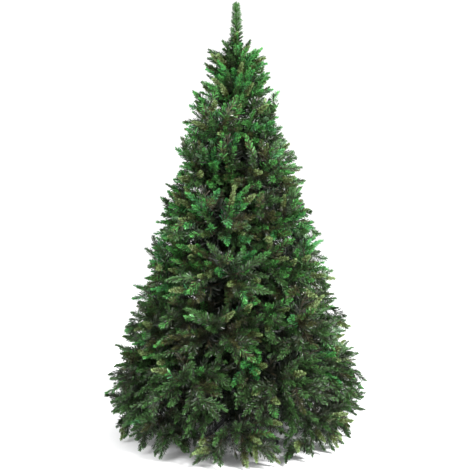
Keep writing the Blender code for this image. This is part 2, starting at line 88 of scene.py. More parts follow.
# The cones between the rings: the height of each at the pole and at the crown's outline
SURFACES = (
    (0.220, 0.030),
    (0.300, 0.215),
    (0.390, 0.415),
    (0.520, 0.630),
    (0.690, 0.850),
    (0.880, 1.060),
    (1.060, 1.250),
    (1.230, 1.420),
)
MASSES_IN_RING = (8, 7, 6, 5, 4, 3, 3)
TOP_RING = len(MASSES_IN_RING)
RING_TURN = math.radians(38)
GOLDEN_STEPS = (0.7548777, 0.5698403)
GOLDEN_TURN = math.pi * (3 - math.sqrt(5))
TWIG_ANGLE = math.radians(44)
TWIG_ANGLE_SHARES = (0.8, 1.1)
SPRAY_LENGTH = 0.155  # of the solids' sprays: the stems end half of this inside the outline
LEADER_LENGTH = 0.235

# The pole and the boughs
POLE_SIDES = 10  # of the solids' pole
POLE_FOOT = 0.0260
POLE_TOP = 1.300
POLE_JOINTS = (0.660, 1.020)
POLE_RADII = (0.0160, 0.0135, 0.0105)
PLUG_LENGTH = 0.045
PLUG_SHARE = 0.75
COLLAR_RIM = 0.009
COLLAR_HEIGHT = 0.020
BOUGH_END = 0.150
BOUGH_RADII = (0.0050, 0.0044)
STEM_RADIUS = 0.0042

# The stand
SLEEVE_RADIUS = 0.0195
SLEEVE_FOOT = 0.022
SLEEVE_TOP = 0.200
SLEEVE_FLOOR = 0.0037
LEGS = 4
LEG_TURN = math.radians(45)
LEG_SPAN = 0.235
LEG_WIDTH = 0.005
LEG_DEPTH = 0.018
LEG_PIVOT = (0.034, 0.078)
LEG_HEEL = 0.009
LEG_SHOULDER = 0.020
LEG_TOE = 0.060
LEG_REST = 0.013
LUG_SIZE = 0.024
LUG_THICKNESS = 0.003
RIVET_RADIUS = 0.0030
RIVET_HEAD = 0.002
FOOT_LENGTH = 0.050
FOOT_WIDTH = 0.018
FOOT_HEIGHT = 0.027
FOOT_TOE = 0.004
SCREWS = 3
SCREW_TURN = math.pi / 2
SCREW_RADIUS = 0.0030
SCREW_HEIGHT = 0.165
SCREW_LENGTH = 0.034
WING_SIZE = (0.004, 0.030, 0.016)


# Sizes and colours that a user may change


def linear(hex_colour):
    """An sRGB hex colour as linear red, green, blue and alpha."""
    channels = [int(hex_colour[i:i + 2], 16) / 255 for i in (1, 3, 5)]
    return (*[c / 12.92 if c <= 0.04045 else ((c + 0.055) / 1.055) ** 2.4 for c in channels], 1.0)


def colour_property(name, description, hex_colour):
    return bpy.props.FloatVectorProperty(
        name=name, description=description, default=linear(hex_colour), size=4, subtype="COLOR",
        min=0, max=1,
    )


def length_property(name, description, default):
    return bpy.props.FloatProperty(
        name=name, description=description, default=default, min=0, unit="LENGTH"
    )


class NeedleSizes(bpy.types.PropertyGroup):
    length: length_property("Needle length", "Length of a cut PVC needle", 0.029)
    width: length_property("Needle width", "Width of the strip a needle is cut from", 0.0030)
    per_metre: bpy.props.IntProperty(
        name="Needles per metre", description="Needles on a metre of twig tip", default=1240
    )
    tip_spacing: length_property(
        "Twig spacing", "Distance between the main twigs on the crown's outline", 0.052
    )


class NeedleColours(bpy.types.PropertyGroup):
    bright: colour_property("Bright", "Young green at the ends of twigs", "#4f9a49")
    fresh: colour_property("Fresh", "Cooler green of the upper rings", "#3f884f")
    # Painted highlight: pale needles that stand in for the glints of the film's gloss
    pale: colour_property("Pale", "Lighter undersides of some needles", "#6f9270")
    mid: colour_property("Middle", "Commonest green", "#3d6431")
    dark: colour_property("Dark", "Deep green of older needles", "#212e17")
    moss: colour_property("Moss", "Yellowish green of the lower rings", "#4b5029")
    olive: colour_property("Olive", "Short stiff tips", "#5f733f")
    straw: colour_property("Straw", "Pale ends of the stiff tips", "#869e67")
    brown: colour_property("Brown", "Brown needles near the wire", "#322d1c")
    shade: colour_property("Shade", "Needles wound on the inner wires", "#172016")


class FrameColours(bpy.types.PropertyGroup):
    wire: colour_property("Wire", "Brown paint of the branch wires", "#40331f")
    pole: colour_property("Pole", "Green paint of the pole", "#24402f")
    stand: colour_property("Stand", "Black paint of the stand", "#1b1b1d")
    plastic: colour_property("Shoes", "Black plastic of the shoes", "#161617")
    floor: colour_property("Floor", "Pale studio floor", "#f4f4f5")


SHADES = ("bright", "fresh", "pale", "mid", "dark", "moss", "olive", "straw", "brown", "shade")
SHADE = {name: index for index, name in enumerate(SHADES)}


# Materials

NOISE_RANGE = (0.3, 0.7)  # within which most values of a noise lie


def add_node(material, kind, inputs, **settings):
    """Adds a node. Each input is a value, or the output socket that it is linked to."""
    tree = material.node_tree
    node = tree.nodes.new(kind)
    for name, value in settings.items():
        setattr(node, name, value)
    for name, value in inputs.items():
        if isinstance(value, bpy.types.NodeSocket):
            tree.links.new(value, node.inputs[name])
        else:
            node.inputs[name].default_value = value
    return node


def varied(name, colour, ior, gloss, tint=None, relief=None):
    """A material with gloss, colour and relief that vary by noises in object coordinates.

    Each of the three starts with the width of its noise's features in millimetres and the noise's detail.
    The rest is the least and the most roughness, the darkest and the lightest share of the colour, and
    the depth of the relief in metres.
    """
    material = bpy.data.materials.new(name)
    material.use_nodes = True
    material.node_tree.nodes.clear()
    place = add_node(material, "ShaderNodeTexCoord", {})
    noises = {}
    for millimetres, detail, *_ in filter(None, (gloss, tint, relief)):
        if millimetres not in noises:
            inputs = {"Vector": place.outputs["Object"], "Scale": 1000 / millimetres, "Detail": detail}
            noises[millimetres] = add_node(material, "ShaderNodeTexNoise", inputs).outputs["Fac"]

    spread = {
        "Value": noises[gloss[0]], "From Min": NOISE_RANGE[0], "From Max": NOISE_RANGE[1],
        "To Min": gloss[2], "To Max": gloss[3],
    }
    looks = {"Base Color": colour, "IOR": ior}
    looks["Roughness"] = add_node(material, "ShaderNodeMapRange", spread).outputs[0]
    if tint:
        darker, lighter = ([min(1, c * share) for c in colour[:3]] + [1] for share in tint[2:])
        ends = {0: noises[tint[0]], 6: darker, 7: lighter}
        looks["Base Color"] = add_node(material, "ShaderNodeMix", ends, data_type="RGBA").outputs[2]
    if relief:
        height = {"Height": noises[relief[0]], "Distance": relief[2], "Strength": 1.0}
        looks["Normal"] = add_node(material, "ShaderNodeBump", height).outputs[0]
    shader = add_node(material, "ShaderNodeBsdfPrincipled", looks)
    add_node(material, "ShaderNodeOutputMaterial", {"Surface": shader.outputs[0]})
    return material


def cut_pvc_film(name, colour):
    """PVC film, dyed through, calendered and cut into strips.

    To the eye it is one plain colour with a soft gloss, which the strip's creases break. They are some
    0.3 mm apart, too fine to show, so they are drawn at 1.6 mm.
    """
    return varied(
        f"cut PVC film, {name}", colour, 1.53, gloss=(7, 2, 0.32, 0.50), relief=(1.6, 2, 0.0002)
    )


def painted_wire(colour):
    """Steel wire dipped in brown paint.

    The paint dries matt, lighter and darker in patches about 9 mm long.
    """
    return varied(
        "dip-painted steel wire", colour, 1.5,
        gloss=(9, 3, 0.55, 0.8), tint=(9, 3, 0.55, 1.5), relief=(1.2, 2, 0.0003),
    )


def powder_coat(name, colour):
    """Powder-coated steel.

    The coat dries to an even satin with the orange peel of such coats, 2.5 mm wide, and gathers dust.
    """
    return varied(
        f"powder-coated steel, {name}", colour, 1.5,
        gloss=(35, 4, 0.38, 0.52), tint=(35, 4, 0.8, 1.35), relief=(2.5, 2, 0.00012),
    )


def moulded_plastic(colour):
    """Polypropylene moulded in a spark-eroded mould.

    It looks dull and slightly grey with scuffs. The mould's grain is about 0.1 mm, too fine to show, so
    it is drawn at 0.8 mm.
    """
    return varied(
        "moulded polypropylene", colour, 1.49,
        gloss=(5, 2, 0.5, 0.68), tint=(12, 2, 0.8, 1.3), relief=(0.8, 2, 0.0001),
    )


def studio_floor(colour):
    """Painted board: matt, with the faint unevenness that a roller leaves."""
    return varied(
        "rolled matt paint", colour, 1.5, gloss=(60, 2, 0.75, 0.85), tint=(400, 2, 0.985, 1.015)
    )


# Pieces


def finish_piece(mesh, materials, nodes):
    """Puts a mesh in the tree under its own name, in place of the CAD nodes."""
    for material in materials:
        mesh.materials.append(material)
    piece = bpy.data.objects.new(mesh.name, mesh)
    bpy.context.scene.collection.objects.link(piece)
    triangles = len(mesh.loops) - 2 * len(mesh.polygons)
    if triangles >= MOST_TRIANGLES:
        raise RuntimeError(f"{mesh.name} has {triangles} triangles")
    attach(piece, BODY)
    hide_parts(*nodes)


def mesh_from_bmesh(bm, name, smooth_angle=SMOOTH_ANGLE):
    mesh = bpy.data.meshes.new(name)
    bm.to_mesh(mesh)
    bm.free()
    mesh.shade_smooth()
    mesh.set_sharp_from_angle(angle=math.radians(smooth_angle))
    return mesh


def joined(parts, name, smooth_angle=SMOOTH_ANGLE):
    """Several bmeshes as one mesh."""
    whole = bmesh.new()
    for part in parts:
        mesh = bpy.data.meshes.new("part")
        part.to_mesh(mesh)
        part.free()
        whole.from_mesh(mesh)
        bpy.data.meshes.remove(mesh)
    return mesh_from_bmesh(whole, name, smooth_angle)


def mesh_from_arrays(name, points, triangles, shades):
    """A mesh from rows of points, of three point numbers and of one material number."""
    mesh = bpy.data.meshes.new(name)
    mesh.vertices.add(len(points))
    mesh.vertices.foreach_set("co", points.astype(np.float32).ravel())
    mesh.loops.add(triangles.size)
    mesh.loops.foreach_set("vertex_index", triangles.astype(np.int32).ravel())
    mesh.polygons.add(len(triangles))
    mesh.polygons.foreach_set("loop_start", np.arange(0, triangles.size, 3, dtype=np.int32))
    mesh.polygons.foreach_set("material_index", shades.astype(np.int32))
    mesh.update(calc_edges=True)
    return mesh


# The crown's shape

OUTLINE_MARGIN = 0.004  # a side twig may pass the crown's outline by this much
SPACE_MARGIN = -0.015  # the side twigs of neighbouring masses reach this far into each other


def polar(radius, angle, height):
    return Vector((radius * math.cos(angle), radius * math.sin(angle), height))


def crown_radius(height):
    """How far from the pole the crown reaches at this height."""
    if height < SKIRT_HEIGHT:
        return SKIRT_RADIUS - (SKIRT_HEIGHT - height) * SKIRT_TUCK
    if height > SHOULDER_HEIGHT:
        return SHOULDER_RADIUS - (height - SHOULDER_HEIGHT) * TOP_TUCK
    drop = (SHOULDER_HEIGHT - height) / (SHOULDER_HEIGHT - SKIRT_HEIGHT)
    return SHOULDER_RADIUS + (SKIRT_RADIUS - SHOULDER_RADIUS) * drop**OUTLINE_POWER


def surface_height(index, radius):
    """Height of one of the cones between the rings, this far from the pole."""
    inner, outer = SURFACES[index]
    return inner + (outer - inner) * radius / crown_radius(outer)


def ring_height(ring, radius):
    """Height of the ring's stems, midway between its two surfaces."""
    return (surface_height(ring, radius) + surface_height(ring + 1, radius)) / 2


def slope(ring):
    reach = crown_radius(SURFACES[ring][1])
    return (ring_height(ring, reach) - ring_height(ring, 0)) / reach


def collar_radius(ring):
    section = sum(ring_height(ring, 0) > joint for joint in POLE_JOINTS)
    return POLE_RADII[section] + COLLAR_RIM


def collar_height(ring):
    return ring_height(ring, collar_radius(ring))


def seat(ring, angle, radius):
    """How far from the axis a wire starts, for its nearest corner to be a gap away from its collar."""
    rim = collar_radius(ring) + GAP
    half_side = math.pi / POLE_SIDES
    nearest = 0.0
    for side in (-radius, 0.0, radius):
        turn = (angle + side / rim) % (2 * half_side) - half_side
        edge = rim * math.cos(half_side) / math.cos(turn)
        nearest = max(nearest, edge * math.cos(side / rim))
    return nearest + radius * math.sin(abs(math.atan(slope(ring))))


class Space:
    """The part of the crown that belongs to one mass of foliage."""

    def __init__(self, ring, angle, half_angle):
        self.ring, self.angle, self.half_angle = ring, angle, half_angle

    def holds(self, point):
        radius = math.hypot(point.x, point.y)
        if radius > crown_radius(point.z) + OUTLINE_MARGIN:
            return False
        if point.z < surface_height(self.ring, radius) + SPACE_MARGIN:
            return False
        if self.ring == TOP_RING:
            return True
        if point.z > surface_height(self.ring + 1, radius) - SPACE_MARGIN:
            return False
        turn = math.atan2(point.y, point.x) - self.angle
        turn = (turn + math.pi) % math.tau - math.pi
        side = radius * math.sin(min(self.half_angle - abs(turn), math.pi / 2))
        return side > SPACE_MARGIN

    def targets(self, count, low, high, along_edge):
        """Points spread evenly over the mass's share of the crown's outline."""
        for i in range(count):
            across = (0.5 + (i + 1) * GOLDEN_STEPS[0]) % 1 * 2 - 1
            up = (0.5 + (i + 1) * GOLDEN_STEPS[1]) % 1
            height = low + (high - low) * up
            radius = crown_radius(height)
            spread = self.half_angle
            if self.half_angle < math.pi:
                spread -= along_edge / radius
            yield polar(radius, self.angle + spread * across, height)


# Twigs

STEM_POINTS = 7
BOUGH_POINTS = 3
STEM_SWAY = 0.02  # at most, in radians round the pole
ALONG_EDGE = 0.016  # the solids' twigs aim this far inside the edges of their mass
FINE_EDGE = -0.012  # the finer twigs aim a little past them, which closes the seams
SOLID_TWIGS = (6, 6, 6, 7, 8, 9, 7)  # twigs in a mass of the solids, for each ring
# At most, how much further in the finer twigs of each ring end, as shares of the crown's radius
SHORTER = (0.10, 0.13, 0.13, 0.11, 0.09, 0.07, 0.06)
SPACING_SHARES = (0.93, 0.97, 0.98, 0.95, 0.88, 0.82, 0.80)  # of the usual spacing, for each ring
SPIKE_SHARE = 0.36  # of the finer twigs, that end just outside the outline
SPIKES = (0.0, 0.026)  # how far outside
EDGE_POWER = 0.75  # under 1 gathers a ring's twigs at the edges of their mass
LOW_POWER = 2.8  # over 1 gathers the lowest ring's twigs at its lower edge
TOP_TWIGS = 58
TOP_SOLID_TWIGS = 14
TOP_SHORTER = 0.10  # as SHORTER
TOP_POWER = 1.4  # over 1 leaves most of the top's twigs near their full length
INNER_DEPTHS = (0.15, 0.90)  # where the inner twigs end, as shares of the crown's radius
INNER_TWIGS = (88, 78, 74, 72, 72, 80, 72)  # in each mass, for each ring
INNER_SPREAD = 0.55  # under 1 gathers the inner twigs at the edges of their mass
SHORTEST_TWIG = 0.05
TWIG_RADII = (0.0015, 0.0007)
EARLIEST_FORK = 0.08  # on a line, as a share of its length
LATEST_FORK = 0.9
MISS_LENGTH = 0.15  # metres of twig that a fork one radian off its angle counts as
TIP_TURNS = (0.08, 0.28)  # how much a twig's tip turns outwards
INNER_TURNS = (0.15, 0.30)
TIP_RISE = (-0.50, 0.0, 0.10, 0.12, 0.15, 0.15, 0.15, 0.30)  # the way the tips turn, for each ring
LOOSE = 0.018  # how much a twig strays from its line, as a share of its length
LEADER_BOW = Vector((0.002, 0.001, 0))

# Side twigs
SIDE_RADII = (0.0010, 0.0006)
SIDE_LENGTHS = (0.105, 0.155)
SIDE_ANGLES = (math.radians(32), math.radians(50))
SIDE_BEHIND = ((0.095, 0.135), (0.120, 0.170), (0.190, 0.250))  # from the twig's tip to each side twig
SIDE_ROLL = math.pi * 0.9  # round the twig, from each side twig to the next
SIDE_TRIES = (0, math.pi, math.pi / 2, -math.pi / 2)  # turns round the twig until its end is in the mass
EARLIEST_SIDE = 0.12  # on its twig, as a share of its length

# Sprays of needles on them. Their starts are shares of their twig's length.
TIP_LENGTHS = (0.13, 0.19)  # of the spray at the end of a twig
STIFF_LENGTHS = (0.05, 0.10)
SIDE_STIFF_LENGTHS = (0.04, 0.08)
EARLIEST_TIP = 0.04
WINDING_START = 0.05
LEADER_WINDING_START = 0.1
SIDE_START = 0.08
EARLIEST_SIDE_STIFF = 0.1
STIFF_SHARE = 0.11  # of the tips
OWN_SHADES = 0.3  # share of the side twigs that don't have their twig's shades

Wire = namedtuple("Wire", "foot tip bow radii")
Spray = namedtuple("Spray", "wire span needles length width leans shades")
# Needles on a metre as a share of the usual number, needles besides, the fewest that a spray has, their
# length and width as shares of the usual ones, and how they lean off the wire at the spray's two ends
Brush = namedtuple("Brush", "density extra fewest length width leans")

OUTER_TIP = Brush(1.0, 0, 12, 1.0, 1.0, (math.radians(52), math.radians(16)))
INNER_TIP = Brush(0.27, 0, 12, 1.4, 1.4, (math.radians(52), math.radians(16)))
STIFF_TIP = Brush(1.7, 30, 0, 0.58, 1.1, (math.radians(62), math.radians(34)))
WINDING = Brush(0.30, 0, 4, 1.2, 1.2, (math.radians(58), math.radians(50)))
STIFF_WINDING = WINDING._replace(density=0.5)
STEM_WINDING = WINDING._replace(density=0.8)
LEADER = Brush(0.0, 700, 0, 1.3, 1.2, (math.radians(58), math.radians(46)))

# The needles' shades near a spray's foot, along it and near its tip. A kind's share of the outer sprays
# is a + b * low + c * low**d, where low is 0 at the crown's top and 1 at the floor. These shares paint
# light and shade by height: the bright kinds thin out towards the floor and the dark kinds gather near
# it, painted shade under the crown.
SHADE_KINDS = (
    (("dark", "mid", "bright"), 0.36, -0.14, -0.21, 4),
    (("dark", "fresh", "bright"), 0.26, -0.19, -0.07, 4),
    # sprays whose tips take the painted highlight
    (("dark", "mid", "pale"), 0.04, 0, 0, 1),
    (("dark", "mid", "mid"), 0.08, 0.14, 0, 1),
    # painted shade: this dark kind rises steeply near the floor
    (("dark", "dark", "mid"), 0.22, -0.12, 5.0, 8),
    (("brown", "moss", "mid"), 0.06, 0.08, 0, 1),
    (("dark", "moss", "bright"), 0.06, 0.04, 0, 1),
    (("brown", "dark", "moss"), 0.02, 0.04, 0.1, 8),
)
INNER_SHADES = (("shade", "shade", "dark"), ("shade", "brown", "dark"), ("shade", "dark", "dark"))
WINDING_SHADES = ("shade", "shade", "dark")
STIFF_SHADES = ("moss", "olive", "straw")
LEADER_SHADES = ("dark", "mid", "mid")


def fork(line, tip, angle):
    """The point of the line from which a straight twig to tip leaves nearest to this angle, and its miss."""
    best = None
    for a, b in zip(line, line[1:]):
        span = b - a
        ahead = span.normalized()
        reach = (tip - a).dot(ahead)
        side = (tip - a - ahead * reach).length
        share = (reach - side / math.tan(angle)) / span.length
        start = a.lerp(b, min(max(share, EARLIEST_FORK), LATEST_FORK))
        miss = abs((tip - start).angle(ahead) - angle)
        if best is None or miss < best[1]:
            best = (start, miss)
    return best


def nearest_fork(lines, tip, angle):
    """The fork on the line that gives the shortest twig, where a bad angle counts as length."""
    forks = [fork(line, tip, angle) for line in lines]
    return min(forks, key=lambda at: (tip - at[0]).length + at[1] * MISS_LENGTH)[0]


class Growth:
    """The wires and sprays of one ring of the crown."""

    def __init__(self, ring, rng, sizes):
        self.ring, self.rng, self.sizes = ring, rng, sizes
        self.wires, self.sprays, self.stiff_sprays, self.stems = [], [], [], []

    def shades(self, height, inner):
        if inner:
            return self.rng.choice(INNER_SHADES)
        low = 1 - min(1, height / TREE_HEIGHT)
        # painted light and shade: lighter kinds higher up, darker kinds towards the floor
        shares = [a + b * low + c * low**d for _, a, b, c, d in SHADE_KINDS]
        return self.rng.choices([kind for kind, *_ in SHADE_KINDS], shares)[0]

    def bow(self, foot, tip, turns):
        """How far the middle of a twig stands off its straight line, for its tip to turn outwards."""
        chord = tip - foot
        outwards = Vector((tip.x, tip.y, 0)).normalized()
        outwards.z = TIP_RISE[self.ring]
        turn = outwards - chord * (outwards.dot(chord) / chord.length_squared)
        turn *= self.rng.uniform(*turns)
        loose = Vector([self.rng.gauss(0, LOOSE) for _ in range(3)])
        return (loose - turn) * chord.length

    def wind(self, wire, start, end, brush, shades):
        """Winds a spray of needles on a part of a wire."""
        length = (wire.tip - wire.foot).length * (end - start)
        needles = brush.extra + round(self.sizes.per_metre * length * brush.density)
        sprays = self.stiff_sprays if brush is STIFF_TIP else self.sprays
        sprays.append(Spray(
            wire, (start, end), max(brush.fewest, needles), self.sizes.length * brush.length,
            self.sizes.width * brush.width, brush.leans, [SHADE[shade] for shade in shades],
        ))

    def twig(self, foot, tip, space, inner=False):
        """A twig with a spray at its end and shorter side twigs."""
        rng = self.rng
        whole = (tip - foot).length
        if whole < SHORTEST_TWIG:
            return
        wire = Wire(foot, tip, self.bow(foot, tip, INNER_TURNS if inner else TIP_TURNS), TWIG_RADII)
        self.wires.append(wire)
        start = max(EARLIEST_TIP, 1 - rng.uniform(*TIP_LENGTHS) / whole)
        shades = self.shades(tip.z, inner)
        if not inner and rng.random() < STIFF_SHARE:
            start = max(start, 1 - rng.uniform(*STIFF_LENGTHS) / whole)
            self.wind(wire, start, 1.0, STIFF_TIP, STIFF_SHADES)
            self.wind(wire, WINDING_START, start, STIFF_WINDING, shades)
        else:
            self.wind(wire, start, 1.0, INNER_TIP if inner else OUTER_TIP, shades)
            self.wind(wire, WINDING_START, start, WINDING, WINDING_SHADES)
        roll = rng.uniform(0, math.tau)
        for i, behind in enumerate(SIDE_BEHIND[:1] if inner else SIDE_BEHIND):
            share = 1 - rng.uniform(*behind) / whole
            if share > EARLIEST_SIDE:
                self.side_twig(wire, share, roll + i * SIDE_ROLL, space, shades, inner)

    def side_twig(self, wire, share, roll, space, shades, inner):
        """A side twig, with needles along nearly all of it, where one ends inside its mass's space."""
        rng = self.rng
        start = wire.foot.lerp(wire.tip, share) + wire.bow * (4 * share * (1 - share))
        ahead = (wire.tip - wire.foot + wire.bow * (4 - 8 * share)).normalized()
        across = ahead.orthogonal().normalized()
        length, angle = rng.uniform(*SIDE_LENGTHS), rng.uniform(*SIDE_ANGLES)
        for turn in SIDE_TRIES:
            sideways = Matrix.Rotation(roll + turn, 3, ahead) @ across
            end = start + (ahead * math.cos(angle) + sideways * math.sin(angle)) * length
            if space.holds(end):
                break
        else:
            return
        side = Wire(start, end, self.bow(start, end, TIP_TURNS), SIDE_RADII)
        self.wires.append(side)
        if not inner and rng.random() < STIFF_SHARE:
            stiff = max(EARLIEST_SIDE_STIFF, 1 - rng.uniform(*SIDE_STIFF_LENGTHS) / length)
            self.wind(side, stiff, 1.0, STIFF_TIP, STIFF_SHADES)
            return
        if rng.random() < OWN_SHADES:
            shades = self.shades(end.z, inner)
        self.wind(side, SIDE_START, 1.0, INNER_TIP if inner else OUTER_TIP, shades)


def stem_points(ring, angle, start, end, count, sway=0.0):
    """Points along a stem of the ring, from a distance start to a distance end from the pole."""
    points = []
    for i in range(count):
        share = i / (count - 1)
        radius = start + (end - start) * share
        swing = sway * math.sin(math.tau * share)
        points.append(polar(radius, angle + swing, ring_height(ring, radius)))
    return points


def within(ring, radius, share):
    """A height between the ring's two surfaces, this far from the pole."""
    bottom = surface_height(ring, radius) + FINE_EDGE
    top = surface_height(ring + 1, radius) - FINE_EDGE
    return bottom + (top - bottom) * share


def to_edges(share):
    """Moves a share from 0 to 1 towards the nearer end."""
    return 0.5 + math.copysign(abs(2 * share - 1)**EDGE_POWER / 2, share - 0.5)


def outer_tip(ring, angle, target, rng):
    """Where a finer twig ends: a target drawn towards its mass's edges, and out or in a little."""
    low, high = SURFACES[ring][1], SURFACES[ring + 1][1]
    share = to_edges((target.z - low) / (high - low))
    if ring == 0:
        share **= LOW_POWER
    radius = crown_radius(low + (high - low) * share)
    half_angle = math.pi / MASSES_IN_RING[ring] - FINE_EDGE / radius
    turn = (math.atan2(target.y, target.x) - angle + math.pi) % math.tau - math.pi
    turn = (to_edges((turn / half_angle + 1) / 2) * 2 - 1) * half_angle
    if rng.random() < SPIKE_SHARE:
        radius += rng.uniform(*SPIKES)
    else:
        radius *= 1 - SHORTER[ring] * rng.random()
    return polar(radius, angle + turn, within(ring, radius, share))


def inner_tip(ring, angle, reach, rng):
    """Where an inner twig ends."""
    radius = reach * rng.uniform(*INNER_DEPTHS)
    across = rng.betavariate(INNER_SPREAD, INNER_SPREAD) * 2 - 1
    height = within(ring, radius, rng.betavariate(INNER_SPREAD, INNER_SPREAD))
    return polar(radius, angle + math.pi / MASSES_IN_RING[ring] * across, height)


def grow_ring(ring, rng, sizes):
    """Grows all the masses of one ring, each from its own stem in its own space."""
    growth = Growth(ring, rng, sizes)
    count = MASSES_IN_RING[ring]
    low, high = SURFACES[ring][1], SURFACES[ring + 1][1]
    reach = crown_radius((low + high) / 2)
    patch = math.tau * reach / count * (high - low)
    twigs = round(patch / (sizes.tip_spacing * SPACING_SHARES[ring])**2)
    for i in range(count):
        angle = RING_TURN * ring + math.tau * i / count
        space = Space(ring, angle, math.pi / count)
        start = seat(ring, angle, STEM_RADIUS) if ring else BOUGH_END + GAP
        sway = rng.uniform(-STEM_SWAY, STEM_SWAY)
        stem = stem_points(ring, angle, start, reach - SPRAY_LENGTH / 2, STEM_POINTS, sway)
        growth.stems.append(stem)
        for a, b in zip(stem, stem[1:]):
            growth.wind(Wire(a, b, Vector(), None), 0.0, 1.0, STEM_WINDING, WINDING_SHADES)
        lead = stem[-1] + (stem[-1] - stem[-2]).normalized() * SPRAY_LENGTH / 2
        growth.twig(stem[-2], lead, space)
        lines = [stem, [stem[-2], lead]]
        edge = ALONG_EDGE / 2
        for tip in list(space.targets(twigs, low + edge, high - edge, ALONG_EDGE))[:SOLID_TWIGS[ring]]:
            foot = fork(stem, tip, TWIG_ANGLE * rng.uniform(*TWIG_ANGLE_SHARES))[0]
            growth.twig(foot, tip, space)
            lines.append([foot, tip])
        for target in list(space.targets(twigs, low, high, FINE_EDGE))[SOLID_TWIGS[ring]:]:
            tip = outer_tip(ring, angle, target, rng)
            foot = nearest_fork(lines, tip, TWIG_ANGLE * rng.uniform(*TWIG_ANGLE_SHARES))
            growth.twig(foot, tip, space)
        for _ in range(INNER_TWIGS[ring]):
            tip = inner_tip(ring, angle, reach, rng)
            growth.twig(nearest_fork(lines, tip, TWIG_ANGLE), tip, space, inner=True)
    return growth


def grow_top(rng, sizes):
    """Grows the leader and the tuft round its foot."""
    growth = Growth(TOP_RING, rng, sizes)
    space = Space(TOP_RING, 0.0, math.pi)
    stem = [Vector((0, 0, z)) for z in (POLE_TOP + GAP, TREE_HEIGHT - LEADER_LENGTH)]
    growth.stems.append(stem)
    low, high = SURFACES[TOP_RING][1] + ALONG_EDGE, SHOULDER_HEIGHT
    for i, tip in enumerate(space.targets(TOP_TWIGS, low, high, ALONG_EDGE)):
        if i >= TOP_SOLID_TWIGS:
            height = low + (high - low) * to_edges((tip.z - low) / (high - low))
            radius = crown_radius(height) * (1 - TOP_SHORTER * rng.random()**TOP_POWER)
            tip = polar(radius, math.atan2(tip.y, tip.x), height)
        growth.twig(fork(stem, tip, TWIG_ANGLE)[0], tip, space)
    leader = Wire(stem[1], Vector((0, 0, TREE_HEIGHT)), LEADER_BOW, TWIG_RADII)
    growth.wires.append(leader)
    growth.wind(leader, 0.0, 1.0, LEADER, LEADER_SHADES)
    growth.wind(Wire(*stem, Vector(), None), LEADER_WINDING_START, 1.0, STEM_WINDING, WINDING_SHADES)
    return growth


# Needles and twig wires as joined meshes

WIRE_RINGS = 4
WIRE_SIDES = 3  # one triangle closes each end
WIRE_REACH = 0.94  # the wire ends this share of the way to its needles' tips
CROWDED_END = 1.05  # over 1 gathers the last needles at the wire's end
TURN_STRAY = 0.25  # radians round the wire
LEAN_STRAY = math.radians(6)
END_LEANS = 0.8  # spread of the leans at the wire's end, as a share of the lean there
LENGTH_SHARES = (0.82, 1.12)  # of the usual length
SHORT_END = 0.45  # how much shorter the needles are at a spray's tip
ROOT_SHARE = 0.45  # a needle's width at its root, as a share of its full width
CUT_SHARE = 0.84  # where the slanting cut of a needle's end begins, as a share of its length
STRIP_TWIST = math.radians(38)  # between a needle's root and its end
TIP_SHARE = 0.5  # of a needle's length that stands past the end of its wire
SHADE_START = 0.3  # over 0 gives the shade at a spray's foot less than its third
SHADE_MIX = 1.0  # how widely a spray's three shades mingle


def rows(values):
    return np.array([tuple(value) for value in values], float)


def unit(vectors):
    return vectors / np.linalg.norm(vectors, axis=-1, keepdims=True)


def frames(along):
    """Two directions square to each row of unit vectors."""
    helper = np.where(np.abs(along[:, 2:]) < 0.9, (0.0, 0.0, 1.0), (1.0, 0.0, 0.0))
    first = unit(np.cross(along, helper))
    return first, np.cross(along, first)


